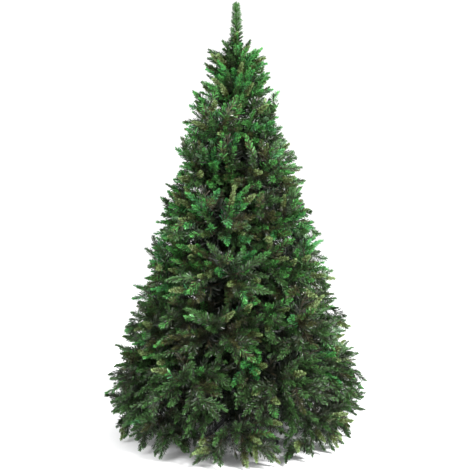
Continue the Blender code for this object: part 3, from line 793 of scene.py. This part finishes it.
def needles(sprays, dice):
    """All the needles of the sprays: points, triangles and the material of each triangle.

    A needle is a narrow strip, slightly twisted and cut off at a slant: two triangles on four points.
    """
    counts = np.array([spray.needles for spray in sprays])
    which = np.repeat(np.arange(len(sprays)), counts)
    total = len(which)
    order = np.arange(total) - np.repeat(np.cumsum(counts) - counts, counts)
    foot, tip, bow = (rows(getattr(s.wire, part) for s in sprays) for part in ("foot", "tip", "bow"))
    span, leans, shades = (rows(getattr(s, part) for s in sprays) for part in ("span", "leans", "shades"))
    size = np.array([(s.length, s.width) for s in sprays])
    chord = tip - foot

    spread = np.minimum(1, (order + dice.random(total)) / counts[which] * CROWDED_END)
    wire_end = 1 - np.where(span[:, 1] == 1, TIP_SHARE * size[:, 0] / np.linalg.norm(chord, axis=1), 0)
    last = np.minimum(span[:, 1], wire_end)
    share = (span[which, 0] + (last - span[:, 0])[which] * spread)[:, None]
    start = foot[which] + chord[which] * share + bow[which] * 4 * share * (1 - share)
    axis = unit(chord[which] + bow[which] * (4 - 8 * share))

    turn = order * GOLDEN_TURN + dice.random(len(sprays))[which] * math.tau
    turn = (turn + dice.normal(0, TURN_STRAY, total))[:, None]
    first, second = frames(axis)
    outwards = first * np.cos(turn) + second * np.sin(turn)
    around = second * np.cos(turn) - first * np.sin(turn)
    lean = leans[which, 0] + (leans[which, 1] - leans[which, 0]) * spread**2
    lean = lean + dice.normal(0, LEAN_STRAY, total)
    at_end = np.abs(dice.normal(0, END_LEANS, total)) * leans[which, 1]
    lean = np.where(spread == 1, at_end, lean)[:, None]
    ahead = axis * np.cos(lean) + outwards * np.sin(lean)
    roll = dice.uniform(-math.pi / 2, math.pi / 2, total)[:, None]
    flat = around * np.cos(roll) + np.cross(ahead, around) * np.sin(roll)
    fold = np.cross(flat, ahead)

    length = size[which, 0] * dice.uniform(*LENGTH_SHARES, total) * (1 - SHORT_END * spread**2)
    length = length[:, None]
    half = size[which, 1:] / 2
    crossed = flat * math.cos(STRIP_TWIST) + fold * math.sin(STRIP_TWIST)
    points = np.stack([
        start - flat * half * ROOT_SHARE,
        start + ahead * length * CUT_SHARE - crossed * half,
        start + ahead * length + crossed * half,
        start + flat * half * ROOT_SHARE,
    ], axis=1).reshape(-1, 3)
    first_point = 4 * np.arange(total)[:, None]
    triangles = np.concatenate([first_point + (0, 1, 2), first_point + (0, 2, 3)], axis=1)
    place = np.clip(spread * 2 + dice.normal(SHADE_START, SHADE_MIX, total), 0, 2).astype(int)
    return points, triangles.reshape(-1, 3), np.repeat(shades[which, place], 2)


def tubes(wires):
    """All the twig wires, as thin bowed tubes with closed ends, in the arrays that needles() gives."""
    foot, tip, bow, radii = (
        rows(getattr(w, part) for w in wires) for part in ("foot", "tip", "bow", "radii")
    )
    first, second = frames(unit(tip - foot))
    share = np.linspace(0, WIRE_REACH, WIRE_RINGS)[None, :, None, None]
    turn = np.linspace(0, math.tau, WIRE_SIDES, endpoint=False)[None, None, :, None]
    centre = foot[:, None, None] + (tip - foot)[:, None, None] * share
    centre = centre + bow[:, None, None] * 4 * share * (1 - share)
    radius = radii[:, None, None, :1] * (1 - share) + radii[:, None, None, 1:] * share
    points = centre + radius * (
        first[:, None, None] * np.cos(turn) + second[:, None, None] * np.sin(turn)
    )
    one = []
    for ring in range(WIRE_RINGS - 1):
        for side in range(WIRE_SIDES):
            a, b = ring * WIRE_SIDES + side, ring * WIRE_SIDES + (side + 1) % WIRE_SIDES
            one += [(a, b, b + WIRE_SIDES), (a, b + WIRE_SIDES, a + WIRE_SIDES)]
    end = (WIRE_RINGS - 1) * WIRE_SIDES
    one += [(2, 1, 0), (end, end + 1, end + 2)]
    starts = WIRE_RINGS * WIRE_SIDES * np.arange(len(wires))
    triangles = (starts[:, None, None] + np.array(one)[None]).reshape(-1, 3)
    return points.reshape(-1, 3), triangles, np.zeros(len(triangles))


# Twisted, turned, bent and moulded parts

STEM_TWIST = (0.018, 4, 6)  # pitch, sides of a strand, and steps in a turn
BOUGH_TWIST = (0.016, 8, 14)
STEM_SMOOTH_ANGLE = 60
SCREW_SMOOTH_ANGLE = 35
ROUND_STEPS = 40  # round a turned part
SMALL_ROUND_STEPS = 20  # round a rivet or a screw
FINE_BEVEL = 0.0004
BEVEL_SEGMENTS = 2
BEVEL_ANGLE = math.radians(35)
PLATE_SEGMENTS = 6  # on a plate's corner
EAR_SIZE = (0.013, 0.0018, 0.016)  # of the two ears that hold each wire on its collar
EAR_CORNER = 0.005
EAR_CLEARANCE = 0.0008
PIN_RADIUS = 0.0015
PIN_STEPS = 12
SLEEVE_BEVEL = 0.0009
LUG_CORNER = 0.009
RIVET_DOME = ((0.0022, 0.0003), (0.0040, 0.0010))  # radii, and how far they lie below its middle
RIVET_HEAD_RADIUS = 0.0047
RIVET_BEVEL = 0.0002
NUT_WIDTH = 0.011
NUT_HEIGHT = 0.005
NUT_SINK = 0.001  # how far a nut reaches into the sleeve, which it is welded to
NUT_BEVEL = 0.0005
BEND_RADIUS = 0.022  # of a leg's middle line
BEND_STEPS = 8
LEG_BEVEL = 0.0007
FOOT_CORNER = 0.003
FOOT_SEGMENTS = 4
POCKET_INSET = 0.002
FOOT_RIBS = 6
RIB_SIZE = (0.0016, 0.0016, 0.017)
RIB_CORNER = 0.0003
RIB_BEVEL = 0.0002
THREAD_PITCH = 0.0012
THREAD_DEPTH = 0.0005
THREAD_START = 0.25  # of a pitch
HUB_RADIUS = 0.0055
HUB_LENGTH = 0.011
HUB_TAPER = 0.8
SCREW_BEVEL = 0.0001
WING_THINNESS = 0.7  # of the solid wing's thickness
WING_CORNER = 0.006
WING_BEVEL = 0.0008


def twisted_wire(line, radii, pitch, sides, steps):
    """Two wires twisted round each other, from the first point of the line to the last."""
    bm = bmesh.new()
    length = sum((b - a).length for a, b in zip(line, line[1:]))
    turns = length / pitch
    count = max(2, round(turns * steps))
    for strand in range(2):
        ring = bmesh.ops.create_circle(bm, cap_ends=False, radius=0.5, segments=sides)["verts"]
        stand = Matrix.Rotation(math.pi * strand, 4, "Z") @ Matrix.Translation((0.5, 0, 0))
        stand = stand @ Matrix.Rotation(math.pi / 2, 4, "X")
        bmesh.ops.transform(bm, matrix=stand, verts=ring)
        edges = {edge for vert in ring for edge in vert.link_edges}
        spun = bmesh.ops.spin(
            bm, geom=ring + list(edges), axis=(0, 0, 1), cent=(0, 0, 0),
            dvec=(0, 0, length / count), angle=math.tau * turns, steps=count,
        )
        ends = [e for e in spun["geom_last"] if isinstance(e, bmesh.types.BMEdge)]
        bmesh.ops.contextual_create(bm, geom=list(edges))
        bmesh.ops.contextual_create(bm, geom=ends)
    for vert in bm.verts:
        share = min(max(vert.co.z, 0), length) / length
        radius = radii[0] + (radii[1] - radii[0]) * share
        spot = share * (len(line) - 1)
        span = min(int(spot), len(line) - 2)
        centre = line[span].lerp(line[span + 1], spot - span)
        turn = (line[span + 1] - line[span]).to_track_quat("Z", "Y")
        vert.co = centre + turn @ Vector((vert.co.x * radius, vert.co.y * radius, 0))
    return bm


def round_edges(bm, edges, width, segments):
    bmesh.ops.bevel(
        bm, geom=edges, offset=width, segments=segments, profile=0.5, affect="EDGES", material=-1,
        clamp_overlap=True,
    )


def bevelled(bm, width):
    """Rounds every sharp edge."""
    bmesh.ops.remove_doubles(bm, verts=bm.verts, dist=1e-6)
    bmesh.ops.recalc_face_normals(bm, faces=bm.faces)
    sharp = [edge for edge in bm.edges if edge.calc_face_angle(0) > BEVEL_ANGLE]
    round_edges(bm, sharp, width, BEVEL_SEGMENTS)
    return bm


def placed(bm, matrix):
    bmesh.ops.transform(bm, matrix=matrix, verts=bm.verts)
    return bm


def about_pole(angle, matrix):
    return Matrix.Rotation(angle, 4, "Z") @ matrix


def laid(angle, distance, height, axis):
    """Lays a part on its side beside the pole.

    A quarter turn about Y points the part's own Z away from the pole, and one about X points it round.
    """
    quarter = Matrix.Rotation(math.pi / 2, 4, axis)
    return about_pole(angle, Matrix.Translation((distance, 0, height)) @ quarter)


def turned(profile, bevel=FINE_BEVEL, steps=ROUND_STEPS):
    """A closed profile of (radius, height) points spun round Z."""
    bm = bmesh.new()
    verts = [bm.verts.new((radius, 0, height)) for radius, height in profile]
    edges = [bm.edges.new(pair) for pair in zip(verts, verts[1:])]
    bmesh.ops.spin(
        bm, geom=verts + edges, cent=(0, 0, 0), axis=(0, 0, 1), angle=math.tau, steps=steps,
        use_merge=True,
    )
    return bevelled(bm, bevel)


def plate(size, corner, bevel=FINE_BEVEL, all_corners=False):
    """A flat plate, thin along Y, with the corners on its +X side or all of them rounded off."""
    bm = bmesh.new()
    bmesh.ops.create_cube(bm, size=1)
    bmesh.ops.scale(bm, verts=bm.verts, vec=size)
    edges = []
    for edge in bm.edges:
        one, two = (vert.co for vert in edge.verts)
        if one.x == two.x and one.z == two.z and (all_corners or one.x > 0):
            edges.append(edge)
    round_edges(bm, edges, corner, PLATE_SEGMENTS)
    return bevelled(bm, bevel)


def pole_profile(index):
    """One section of the pole as a closed profile: socket, collars, foot and plug. Also its rings."""
    radius = POLE_RADII[index]
    foot = POLE_JOINTS[index - 1] + GAP if index else POLE_FOOT
    last = index == len(POLE_RADII) - 1
    top = POLE_TOP if last else POLE_JOINTS[index]
    profile = [(0, top)]
    if not last:
        socket = POLE_RADII[index + 1] * PLUG_SHARE + GAP
        floor = top - PLUG_LENGTH - GAP
        profile = [(0, floor), (socket, floor), (socket, top)]
    profile.append((radius, top))
    rings = [r for r in range(TOP_RING) if foot < collar_height(r) < top]
    for ring in reversed(rings):
        middle, rim = collar_height(ring), radius + COLLAR_RIM
        upper, lower = middle + COLLAR_HEIGHT / 2, middle - COLLAR_HEIGHT / 2
        profile += [(radius, upper), (rim, upper), (rim, lower), (radius, lower)]
    profile.append((radius, foot))
    if index:
        plug = radius * PLUG_SHARE
        profile += [(plug, foot), (plug, foot - PLUG_LENGTH)]
        foot -= PLUG_LENGTH
    return profile + [(0, foot)], rings


def hinge(ring, angle):
    """The two ears on a collar that hold one wire, and the pin through them."""
    wire = STEM_RADIUS if ring else BOUGH_RADII[0]
    middle = collar_radius(ring) - COLLAR_RIM / 2 + EAR_SIZE[0] / 2
    apart = wire + EAR_CLEARANCE + EAR_SIZE[1] / 2
    height = collar_height(ring)
    parts = []
    for side in (-apart, apart):
        place = Matrix.Translation((middle, side, height))
        parts.append(placed(plate(EAR_SIZE, EAR_CORNER), about_pole(angle, place)))
    reach = apart + EAR_SIZE[1]
    profile = [(0, -reach), (PIN_RADIUS, -reach), (PIN_RADIUS, reach), (0, reach)]
    pin = turned(profile, steps=PIN_STEPS)
    parts.append(placed(pin, laid(angle, middle + EAR_SIZE[0] / 4, height, "X")))
    return parts


def sleeve_parts():
    """The tube that the pole stands in, its lugs, its rivets and the nuts of its screws."""
    bore = POLE_RADII[0] + 2 * GAP
    floor = SLEEVE_FOOT + SLEEVE_FLOOR
    parts = [turned([
        (0, floor), (bore, floor), (bore, SLEEVE_TOP), (SLEEVE_RADIUS, SLEEVE_TOP),
        (SLEEVE_RADIUS, SLEEVE_FOOT), (0, SLEEVE_FOOT),
    ], SLEEVE_BEVEL)]
    across = LEG_WIDTH / 2 + GAP + LUG_THICKNESS / 2
    wall = math.sqrt(((bore + SLEEVE_RADIUS) / 2)**2 - across**2)
    reach = LEG_PIVOT[0] + LUG_SIZE / 2 - wall
    lug_face = across + LUG_THICKNESS / 2
    crown = lug_face + RIVET_HEAD
    half = [(0, crown), *((radius, crown - drop) for radius, drop in RIVET_DOME)]
    half += [(RIVET_HEAD_RADIUS, lug_face), (RIVET_RADIUS, lug_face)]
    rivet = half + [(radius, -height) for radius, height in reversed(half)]
    for i in range(LEGS):
        angle = LEG_TURN + math.tau * i / LEGS
        for side in (-across, across):
            lug = plate((reach, LUG_THICKNESS, LUG_SIZE), LUG_CORNER)
            place = Matrix.Translation((wall + reach / 2, side, LEG_PIVOT[1]))
            parts.append(placed(lug, about_pole(angle, place)))
        head = turned(rivet, RIVET_BEVEL, SMALL_ROUND_STEPS)
        parts.append(placed(head, laid(angle, *LEG_PIVOT, "X")))
    wide, hole = NUT_WIDTH / math.sqrt(3), SCREW_RADIUS + GAP
    profile = [(hole, 0), (wide, 0), (wide, NUT_HEIGHT), (hole, NUT_HEIGHT), (hole, 0)]
    for i in range(SCREWS):
        place = laid(SCREW_TURN + math.tau * i / SCREWS, SLEEVE_RADIUS - NUT_SINK, SCREW_HEIGHT, "Y")
        parts.append(placed(turned(profile, NUT_BEVEL, steps=6), place))
    return parts


def leg_stations():
    """Where the bent bar of a leg is and how steeply it falls, from its rivet to its end."""
    start = Vector((LEG_PIVOT[0] - LEG_HEEL, LEG_PIVOT[1]))
    upper = Vector((LEG_PIVOT[0] + LEG_SHOULDER, LEG_PIVOT[1]))
    lower = Vector((LEG_SPAN - LEG_TOE, LEG_REST))
    fall = math.atan2(upper.y - lower.y, lower.x - upper.x)
    before = BEND_RADIUS * math.tan(fall / 2)
    stations = [(start, 0.0)]
    for bend, centre_height, first, last in (
        (upper, upper.y - BEND_RADIUS, 0.0, fall), (lower, lower.y + BEND_RADIUS, fall, 0.0),
    ):
        centre = Vector((bend.x + (before if last == 0 else -before), centre_height))
        for i in range(BEND_STEPS + 1):
            turn = first + (last - first) * i / BEND_STEPS
            arm = Vector((math.sin(turn), math.cos(turn))) * BEND_RADIUS
            stations.append((centre + arm if last else centre - arm, turn))
    return stations + [(Vector((LEG_SPAN, LEG_REST)), 0.0)]


def bent_bar():
    """A flat bar on edge, drawn along the stations of a leg."""
    bm = bmesh.new()
    bmesh.ops.create_grid(bm, x_segments=1, y_segments=1, size=0.5)
    bmesh.ops.scale(bm, verts=bm.verts, vec=(LEG_DEPTH, LEG_WIDTH, 1))
    end, at = next(iter(bm.faces)), Matrix.Identity(4)
    for number, (place, fall) in enumerate(leg_stations()):
        there = Matrix.Translation((place.x, 0, place.y)) @ Matrix.Rotation(math.pi / 2 + fall, 4, "Y")
        if number == 1:
            geom = bmesh.ops.extrude_face_region(bm, geom=[end])["geom"]
            end = next(item for item in geom if isinstance(item, bmesh.types.BMFace))
        elif number:
            end = bmesh.ops.extrude_discrete_faces(bm, faces=[end])["faces"][0]
        bmesh.ops.transform(bm, matrix=there @ at.inverted(), verts=end.verts[:])
        at = there
    return bevelled(bm, LEG_BEVEL)


def shoe():
    """A plastic shoe, its pocket open towards the pole, with ribs on its sides."""
    bm = bmesh.new()
    bmesh.ops.create_cube(bm, size=1)
    bmesh.ops.scale(bm, verts=bm.verts, vec=(FOOT_LENGTH, FOOT_WIDTH, FOOT_HEIGHT))
    round_edges(bm, bm.edges[:], FOOT_CORNER, FOOT_SEGMENTS)
    opening = min(bm.faces, key=lambda face: face.calc_center_median().x)
    bmesh.ops.inset_individual(bm, faces=[opening], thickness=POCKET_INSET)
    for vert in opening.verts:
        vert.co.y = math.copysign(LEG_WIDTH / 2 + GAP, vert.co.y)
        vert.co.z = math.copysign(LEG_DEPTH / 2 + GAP, vert.co.z) + LEG_REST - FOOT_HEIGHT / 2
    pocket = bmesh.ops.extrude_discrete_faces(bm, faces=[opening])["faces"]
    bmesh.ops.translate(bm, verts=pocket[0].verts, vec=(FOOT_LENGTH - FOOT_TOE + GAP, 0, 0))
    bmesh.ops.recalc_face_normals(bm, faces=bm.faces)
    middle = LEG_SPAN + FOOT_TOE - FOOT_LENGTH / 2
    parts = [placed(bm, Matrix.Translation((middle, 0, FOOT_HEIGHT / 2)))]
    for i in range(FOOT_RIBS):
        along = middle + (i / (FOOT_RIBS - 1) - 0.5) * (FOOT_LENGTH - 4 * FOOT_CORNER)
        for side in (-1, 1):
            rib = plate(RIB_SIZE, RIB_CORNER, RIB_BEVEL, all_corners=True)
            parts.append(placed(rib, Matrix.Translation((along, side * FOOT_WIDTH / 2, FOOT_HEIGHT / 2))))
    return parts


def wing_screw():
    """A threaded shaft, a hub and two wings. Its own Z runs away from the pole."""
    root = SCREW_RADIUS - THREAD_DEPTH
    hub = SCREW_LENGTH - HUB_LENGTH / 2
    profile = [(0, GAP), (root, GAP)]
    for i in range(int(hub / THREAD_PITCH)):
        low = GAP + (i + THREAD_START) * THREAD_PITCH
        profile += [(root, low), (SCREW_RADIUS, low + THREAD_PITCH / 2)]
    profile += [(root, hub), (HUB_RADIUS, hub), (HUB_RADIUS * HUB_TAPER, hub + HUB_LENGTH)]
    profile.append((0, hub + HUB_LENGTH))
    parts = [turned(profile, SCREW_BEVEL, SMALL_ROUND_STEPS)]
    thick, wide, tall = WING_SIZE
    for side in (-1, 1):
        wing = plate((wide / 2, thick * WING_THINNESS, tall), WING_CORNER, WING_BEVEL)
        place = Matrix.Translation((0, 0, SCREW_LENGTH)) @ Matrix.Rotation(math.pi / 2, 4, "Z")
        if side < 0:
            place = place @ Matrix.Rotation(math.pi, 4, "Z")
        place = place @ Matrix.Translation((wide / 4, 0, 0)) @ Matrix.Rotation(math.pi / 2, 4, "X")
        parts.append(placed(wing, place))
    return parts


# The studio

FLOOR_SIZE = 30.0
FLOOR_GRID = 8
WORLD_STRENGTH = 1.12
# Each light's place, what it points at, its side and its power
LIGHTS = {
    "key": ((2.9, -2.3, 3.5), (0, 0, 1.1), 1.2, 530),
    "fill": ((-3.0, -2.5, 2.4), (0, 0, 1.1), 2.5, 160),
}
CAMERA_PLACE = (-0.004, -4.0, 1.2)
CAMERA_TILT = math.radians(5.10)  # below the level
CAMERA_LENS = 73.7


# Operators


class FIR_OT_foliage(bpy.types.Operator):
    """Grows the crown: stems, twigs and needles in place of each mass of foliage"""

    bl_idname = "fir.foliage"
    bl_label = "Foliage"

    def execute(self, context):
        sizes, colours = context.scene.needle_sizes, context.scene.needle_colours
        rng, dice = random.Random(SEED), np.random.default_rng(SEED)
        rings = [grow_ring(ring, rng, sizes) for ring in range(TOP_RING)] + [grow_top(rng, sizes)]
        films = [cut_pvc_film(name, getattr(colours, name)) for name in SHADES]
        wire = painted_wire(context.scene.frame_colours.wire)
        for ring, growth in enumerate(rings):
            top = ring == TOP_RING
            name, start = ("top", "foliage_top") if top else (f"ring_{ring + 1}", f"foliage_{ring + 1}_")
            nodes = [node for node in sorted(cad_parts) if node.startswith(start)]
            for kind, sprays in (("needles", growth.sprays), ("stiff_tips", growth.stiff_sprays)):
                mesh = mesh_from_arrays(f"{kind}_{name}", *needles(sprays, dice))
                finish_piece(mesh, films, nodes)
            mesh = mesh_from_arrays(f"twigs_{name}", *tubes(growth.wires))
            finish_piece(mesh, [wire], nodes)
            radii = (STEM_RADIUS / 2, STEM_RADIUS / 3)
            stems = [twisted_wire(stem, radii, *STEM_TWIST) for stem in growth.stems]
            mesh = joined(stems, f"stems_{name}", STEM_SMOOTH_ANGLE)
            finish_piece(mesh, [wire], nodes)
        return {"FINISHED"}


class FIR_OT_boughs(bpy.types.Operator):
    """Twists the bare wire boughs of the lowest ring"""

    bl_idname = "fir.boughs"
    bl_label = "Boughs"

    def execute(self, context):
        wire = painted_wire(context.scene.frame_colours.wire)
        radii = [radius / 2 for radius in BOUGH_RADII]
        for i in range(MASSES_IN_RING[0]):
            angle = math.tau * i / MASSES_IN_RING[0]
            line = stem_points(0, angle, seat(0, angle, BOUGH_RADII[0]), BOUGH_END, BOUGH_POINTS)
            mesh = mesh_from_bmesh(twisted_wire(line, radii, *BOUGH_TWIST), f"wire_bough_{i + 1}")
            finish_piece(mesh, [wire], [f"bough_{i + 1}"])
        return {"FINISHED"}


class FIR_OT_pole(bpy.types.Operator):
    """Turns the three sections of the pole, with the hinges on their collars"""

    bl_idname = "fir.pole"
    bl_label = "Pole"

    def execute(self, context):
        paint = powder_coat("green", context.scene.frame_colours.pole)
        for index, section in enumerate(("lower", "middle", "upper")):
            profile, rings = pole_profile(index)
            parts = [turned(profile)]
            for ring in rings:
                count = MASSES_IN_RING[ring]
                for i in range(count):
                    parts += hinge(ring, RING_TURN * ring + math.tau * i / count)
            mesh = joined(parts, f"tube_{section}")
            finish_piece(mesh, [paint], [f"pole_{section}"])
        return {"FINISHED"}


class FIR_OT_sleeve(bpy.types.Operator):
    """Makes the stand's sleeve with its lugs, rivets and nuts"""

    bl_idname = "fir.sleeve"
    bl_label = "Sleeve"

    def execute(self, context):
        paint = powder_coat("sleeve", context.scene.frame_colours.stand)
        finish_piece(joined(sleeve_parts(), "sleeve"), [paint], ["stand_sleeve"])
        return {"FINISHED"}


class FIR_OT_legs(bpy.types.Operator):
    """Bends the four flat legs and pushes a ribbed shoe on each"""

    bl_idname = "fir.legs"
    bl_label = "Legs and shoes"

    def execute(self, context):
        colours = context.scene.frame_colours
        paint, plastic = powder_coat("legs", colours.stand), moulded_plastic(colours.plastic)
        for i in range(LEGS):
            turn = Matrix.Rotation(LEG_TURN + math.tau * i / LEGS, 4, "Z")
            mesh = mesh_from_bmesh(placed(bent_bar(), turn), f"bar_leg_{i + 1}")
            finish_piece(mesh, [paint], [f"stand_leg_{i + 1}"])
            mesh = joined([placed(part, turn) for part in shoe()], f"ribbed_shoe_{i + 1}")
            finish_piece(mesh, [plastic], [f"stand_foot_{i + 1}"])
        return {"FINISHED"}


class FIR_OT_screws(bpy.types.Operator):
    """Makes the wing screws that hold the pole in the sleeve"""

    bl_idname = "fir.screws"
    bl_label = "Wing screws"

    def execute(self, context):
        paint = powder_coat("screws", context.scene.frame_colours.stand)
        for i in range(SCREWS):
            place = laid(SCREW_TURN + math.tau * i / SCREWS, POLE_RADII[0], SCREW_HEIGHT, "Y")
            parts = [placed(part, place) for part in wing_screw()]
            mesh = joined(parts, f"wing_screw_{i + 1}", SCREW_SMOOTH_ANGLE)
            finish_piece(mesh, [paint], [f"stand_screw_{i + 1}"])
        return {"FINISHED"}


class FIR_OT_stage(bpy.types.Operator):
    """Sets up the floor, the lights and the photograph's camera"""

    bl_idname = "fir.stage"
    bl_label = "Stage"

    def execute(self, context):
        scene = context.scene
        bm = bmesh.new()
        bmesh.ops.create_grid(bm, x_segments=FLOOR_GRID, y_segments=FLOOR_GRID, size=FLOOR_SIZE / 2)
        bmesh.ops.translate(bm, verts=bm.verts, vec=(0, 0, -GAP))
        floor = bpy.data.objects.new("floor", mesh_from_bmesh(bm, "floor"))
        floor.data.materials.append(studio_floor(scene.frame_colours.floor))
        scene.collection.objects.link(floor)
        floor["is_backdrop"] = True

        world = bpy.data.worlds.new("studio")
        world.use_nodes = True
        world.node_tree.nodes["Background"].inputs["Color"].default_value = (1, 1, 1, 1)
        world.node_tree.nodes["Background"].inputs["Strength"].default_value = WORLD_STRENGTH
        scene.world = world
        for name, (place, target, size, power) in LIGHTS.items():
            light = bpy.data.lights.new(name, "AREA")
            light.size = size
            light.energy = power
            lamp = bpy.data.objects.new(name, light)
            lamp.location = place
            lamp.rotation_euler = (Vector(target) - Vector(place)).to_track_quat("-Z", "Y").to_euler()
            scene.collection.objects.link(lamp)

        camera = bpy.data.objects.new("camera", bpy.data.cameras.new("camera"))
        camera.data.lens = CAMERA_LENS
        camera.location = CAMERA_PLACE
        camera.rotation_euler = (math.pi / 2 - CAMERA_TILT, 0, 0)
        scene.collection.objects.link(camera)
        scene.camera = camera
        scene.view_settings.view_transform = "Standard"
        scene.view_settings.look = "None"
        return {"FINISHED"}


class FIR_PT_tree(bpy.types.Panel):
    bl_label = "Fir tree"
    bl_idname = "FIR_PT_tree"
    bl_space_type = "VIEW_3D"
    bl_region_type = "UI"
    bl_category = "Fir tree"

    def draw(self, context):
        for operator in OPERATORS:
            self.layout.operator(operator.bl_idname)


GROUPS = {
    "needle_sizes": NeedleSizes,
    "needle_colours": NeedleColours,
    "frame_colours": FrameColours,
}
OPERATORS = (
    FIR_OT_foliage, FIR_OT_boughs, FIR_OT_pole, FIR_OT_sleeve, FIR_OT_legs, FIR_OT_screws, FIR_OT_stage,
)


def register():
    for group in (*GROUPS.values(), *OPERATORS, FIR_PT_tree):
        bpy.utils.register_class(group)
    for name, group in GROUPS.items():
        setattr(bpy.types.Scene, name, bpy.props.PointerProperty(type=group))


def unregister():
    for name in GROUPS:
        delattr(bpy.types.Scene, name)
    for group in (FIR_PT_tree, *reversed(OPERATORS), *reversed(GROUPS.values())):
        bpy.utils.unregister_class(group)


def main():
    register()
    bpy.ops.fir.foliage()
    bpy.ops.fir.boughs()
    bpy.ops.fir.pole()
    bpy.ops.fir.sleeve()
    bpy.ops.fir.legs()
    bpy.ops.fir.screws()
    bpy.ops.fir.stage()
    boxes = {"cad": CAD_BOX, "visual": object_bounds()}
    {name: [list(corner) for corner in box] for name, box in boxes.items()}


if __name__ == "__main__":
    main()
